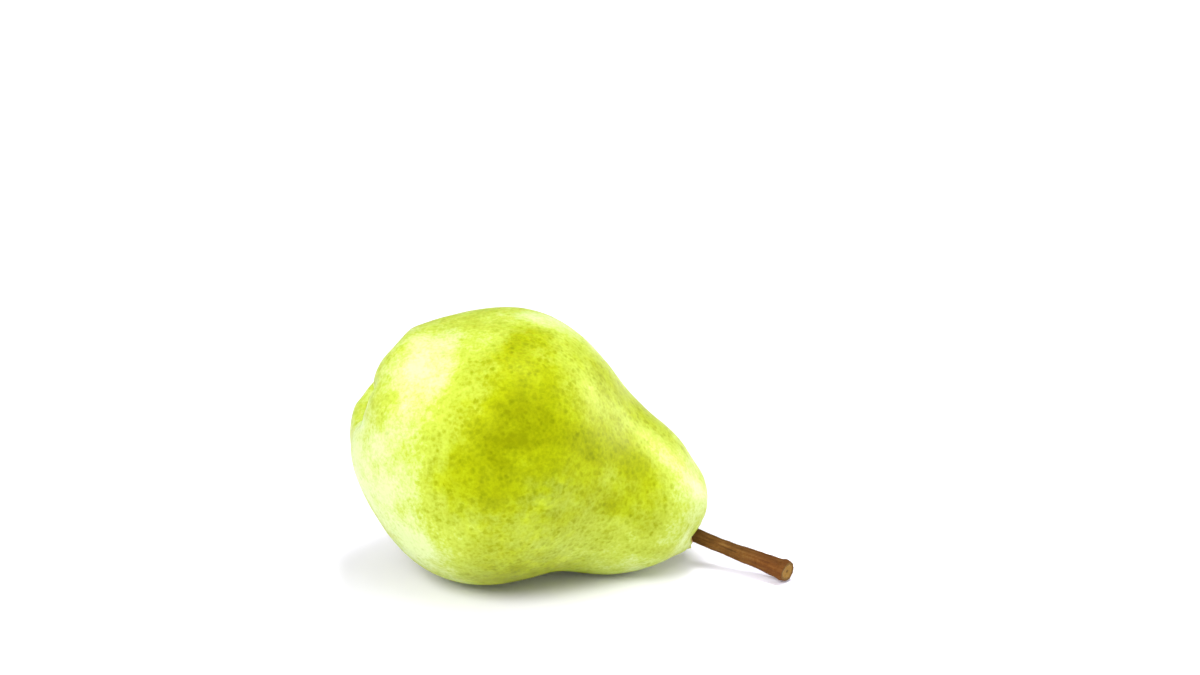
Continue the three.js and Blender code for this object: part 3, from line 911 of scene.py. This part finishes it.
calyxFinish = {
    # From root to tip: place on the scale, and colour.
    "scale": [
        (0.05, (0.31, 0.26, 0.072)),
        (0.4, (0.19, 0.128, 0.054)),
        (0.85, (0.088, 0.058, 0.032)),
    ],
    "mottleWeight": 0.8,            # how much the mottle shifts the scale
    "dust": (0.42, 0.34, 0.22), "dustShare": 0.45,
    "mottleCell": 1.2, "dustCell": 0.3,     # sizes of the patterns, mm
    "roughness": (0.7, 0.95),
    "bumpDepth": 0.2,               # mm
}


def calyxMaterial():
    material, tree = newMaterial("driedCalyx")
    place = objectPlace(tree)
    lengthwise = attribute(tree, "lengthwise").outputs["Fac"]
    mottle = cloud(tree, place, calyxFinish["mottleCell"], 4, 0.65)
    fine = cloud(tree, place, calyxFinish["dustCell"], 2, 0.6)
    shift = calc(tree, "SUBTRACT", mottle, 0.5)
    tone = calc(tree, "MULTIPLY_ADD", shift, calyxFinish["mottleWeight"], lengthwise)
    colour = colourScale(tree, tone, calyxFinish["scale"])
    dust = calc(tree, "MULTIPLY", remap(tree, fine, 0.52, 0.7), calyxFinish["dustShare"])
    colour = blend(tree, dust, colour, calyxFinish["dust"])
    height = calc(tree, "MULTIPLY_ADD", fine, 0.5, mottle)
    roughness = remap(tree, mottle, 0.3, 0.7, *calyxFinish["roughness"])
    finishMaterial(
        tree, colour, roughness, height, calyxFinish["bumpDepth"],
        Specular_IOR_Level=0.3, Sheen_Weight=0.15,
    )
    return material


calyxLook = calyxMaterial()
for piece in (sepals, stamens):
    piece.data.materials.append(calyxLook)
    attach(piece, "root")
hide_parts("calyx")
print("calyx:", len(sepals.data.polygons) + len(stamens.data.polygons), "faces")


# The white table and the light

studio = {
    "tableSize": 14.0,
    "tableColour": (0.9, 0.88, 1.0),
    "worldStrength": 0.17,
    # Away from the pear the table glows, so that it stays white where the lamps no longer reach.
    "glow": 0.5, "glowStart": 0.2, "glowEnd": 0.6,      # strength, and metres from the middle
    "glowColour": (1.0, 1.0, 0.9),
    # Soft boxes: name, azimuth, elevation, distance, size, power. Azimuth 0 is behind the camera.
    "softBoxes": [
        ("keyBox", -38.0, 41.0, 1.0, 0.4, 8.6),
        ("topBox", 95.0, 80.0, 0.9, 0.3, 6.2),
        ("highBox", 30.0, 55.0, 0.9, 0.4, 1.8),
        ("frontBox", 12.0, 24.0, 1.1, 0.8, 3.6),
        ("rightBox", 110.0, 11.5, 1.1, 0.5, 8.6),
        ("leftBox", -98.0, 14.0, 1.1, 0.5, 2.4),
    ],
}


def addTable():
    half = studio["tableSize"] / 2
    mesh = bpy.data.meshes.new("table")
    corners = [(-half, -half, 0), (half, -half, 0), (half, half, 0), (-half, half, 0)]
    mesh.from_pydata(corners, [], [(0, 1, 2, 3)])
    table = bpy.data.objects.new("table", mesh)
    bpy.context.scene.collection.objects.link(table)
    material, tree = newMaterial("whiteTable")
    away = addNode(tree, "ShaderNodeVectorMath", {0: objectPlace(tree)}, operation="LENGTH")
    glow = remap(tree, away.outputs["Value"], studio["glowStart"], studio["glowEnd"], 0.0, studio["glow"])
    shader = addNode(tree, "ShaderNodeBsdfPrincipled", {
        "Base Color": withAlpha(studio["tableColour"]), "Roughness": 0.9, "Specular IOR Level": 0.1,
        "Emission Color": withAlpha(studio["glowColour"]), "Emission Strength": glow,
    })
    addNode(tree, "ShaderNodeOutputMaterial", {"Surface": shader.outputs["BSDF"]})
    mesh.materials.append(material)


# A square lamp on a ball round the pear, turned to face its middle.
def addSoftBox(name, azimuth, elevation, distance, size, power):
    away = outwards(azimuth, elevation)
    data = bpy.data.lights.new(name, "AREA")
    data.shape = "SQUARE"
    data.size = size
    data.energy = power
    lamp = bpy.data.objects.new(name, data)
    lamp.location = (cadBox[0] + cadBox[1]) / 2 + away * distance
    lamp.rotation_euler = away.to_track_quat("Z", "Y").to_euler()
    bpy.context.scene.collection.objects.link(lamp)


def addWorld():
    world = bpy.data.worlds.new("studio")
    world.use_nodes = True
    background = world.node_tree.nodes["Background"]
    background.inputs["Color"].default_value = (1, 1, 1, 1)
    background.inputs["Strength"].default_value = studio["worldStrength"]
    bpy.context.scene.world = world


addTable()
addWorld()
for box in studio["softBoxes"]:
    addSoftBox(*box)
bpy.context.scene.view_settings.view_transform = "Standard"
print("studio: table and", len(studio["softBoxes"]), "soft boxes")
